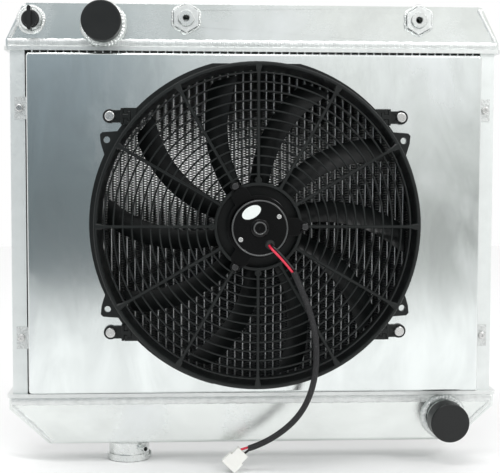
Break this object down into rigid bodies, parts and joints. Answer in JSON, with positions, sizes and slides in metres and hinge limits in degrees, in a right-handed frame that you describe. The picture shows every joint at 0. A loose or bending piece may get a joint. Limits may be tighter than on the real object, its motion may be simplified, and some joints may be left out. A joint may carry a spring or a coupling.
{
  "type": "car radiator with electric fan",
  "caption": "Welded aluminium cross-tank car radiator with a tube and fin core, a sheet shroud and a guarded electric puller fan.",
  "frame": {"origin": "middle of the flat outer face of the cooler tank, the tank that holds the oil cooler and the drain, drawn upwards here", "axes": "+Z from the filler tank to the cooler tank (the car carries the radiator the other way up, filler neck on top); -Y towards the fan side; +X to the right seen from the fan side"},
  "size_m": [0.65, 0.1954, 0.6032],
  "materials": {
    "tank_aluminium": "bright mill-finish sheet, lightly smudged",
    "header_aluminium": "mill finish with weld frosting",
    "core_aluminium": "brazed, pale grey",
    "shroud_aluminium": "polished rolled sheet",
    "machined_aluminium": "turned",
    "steel": "zinc plated",
    "black_screw": "black coated",
    "motor_paint": "gloss black",
    "fan_plastic": "satin black moulded",
    "black_rubber": "matt",
    "drain_black": "black",
    "cap_plastic": "satin black",
    "magnet": "dark ferrite",
    "laminated_iron": "laminated",
    "copper": "copper coloured",
    "carbon": "carbon",
    "bronze": "sintered",
    "label_white": "blank white",
    "red_insulation": "red",
    "black_insulation": "black",
    "braid": "black braided sleeve",
    "connector_nylon": "natural white nylon",
    "holder_plastic": "brown board"
  },
  "bodies": {
    "radiator": {"cooler_tank": "tank_aluminium", "filler_tank": "tank_aluminium", "cooler_tank_ends": "tank_aluminium", "filler_tank_ends": "tank_aluminium", "cooler_header": "header_aluminium", "filler_header": "header_aluminium", "side_channel_left": "header_aluminium", "side_channel_right": "header_aluminium", "core_tubes": "core_aluminium", "core_fins": "core_aluminium", "outlet_stub": "machined_aluminium", "inlet_stub": "machined_aluminium", "drain_bung": "machined_aluminium", "cooler_ports": "machined_aluminium", "cooler_port_nuts": "machined_aluminium", "oil_cooler": "machined_aluminium", "filler_neck": "machined_aluminium", "overflow_tube": "machined_aluminium", "shroud": "shroud_aluminium", "shroud_bolts": "steel", "shroud_nuts": "steel", "fan_housing": "fan_plastic", "fan_guard": "fan_plastic", "mounting_feet": "fan_plastic", "foot_screws": "steel", "foot_nuts": "steel", "motor_bracket": "motor_paint", "bracket_screws": "black_screw", "motor_can": "motor_paint", "motor_end_cap": "motor_paint", "motor_magnets": "magnet", "brush_holder": "holder_plastic", "brushes": "carbon", "brush_springs": "steel", "front_bearing": "bronze", "rear_bearing": "bronze", "end_cap_screws": "steel", "motor_label": "label_white", "cable_grommet": "black_rubber", "red_wire": "red_insulation", "black_wire": "black_insulation", "lead_sleeve": "braid", "red_wire_end": "red_insulation", "black_wire_end": "black_insulation", "connector": "connector_nylon", "terminals": "steel"},
    "fan": {"fan_rotor": "fan_plastic", "rotor_nut": "steel", "motor_shaft": "steel", "armature": "laminated_iron", "armature_windings": "copper", "commutator": "copper"},
    "outlet_cap_body": {"outlet_cap": "cap_plastic"},
    "inlet_cap_body": {"inlet_cap": "cap_plastic"},
    "drain_travel_body": {"drain_seal": "black_rubber"},
    "drain_plug_body": {"drain_plug": "drain_black"}
  },
  "joints": [
    {"name": "fan_spin", "type": "hinge", "parent": "radiator", "child": "fan", "pos_m": [0, -0.084, -0.285], "axis": [0, 1, 0], "continuous": true},
    {"name": "outlet_cap_pull", "type": "slide", "parent": "radiator", "child": "outlet_cap_body", "axis": [0, -1, 0], "range_m": [0, 0.03]},
    {"name": "inlet_cap_pull", "type": "slide", "parent": "radiator", "child": "inlet_cap_body", "axis": [0, -1, 0], "range_m": [0, 0.03]},
    {"name": "drain_travel", "type": "slide", "parent": "radiator", "child": "drain_travel_body", "axis": [0, -1, 0], "range_m": [0, 0.003]},
    {"name": "drain_turn", "type": "hinge", "parent": "drain_travel_body", "child": "drain_plug_body", "pos_m": [-0.2894, -0.0468, -0.0217], "axis": [0, -1, 0], "range_deg": [0, 720]}
  ],
  "couplings": [
    {"joint": "drain_travel", "follows": "drain_turn", "m_per_rad": 0.00023873}
  ]
}
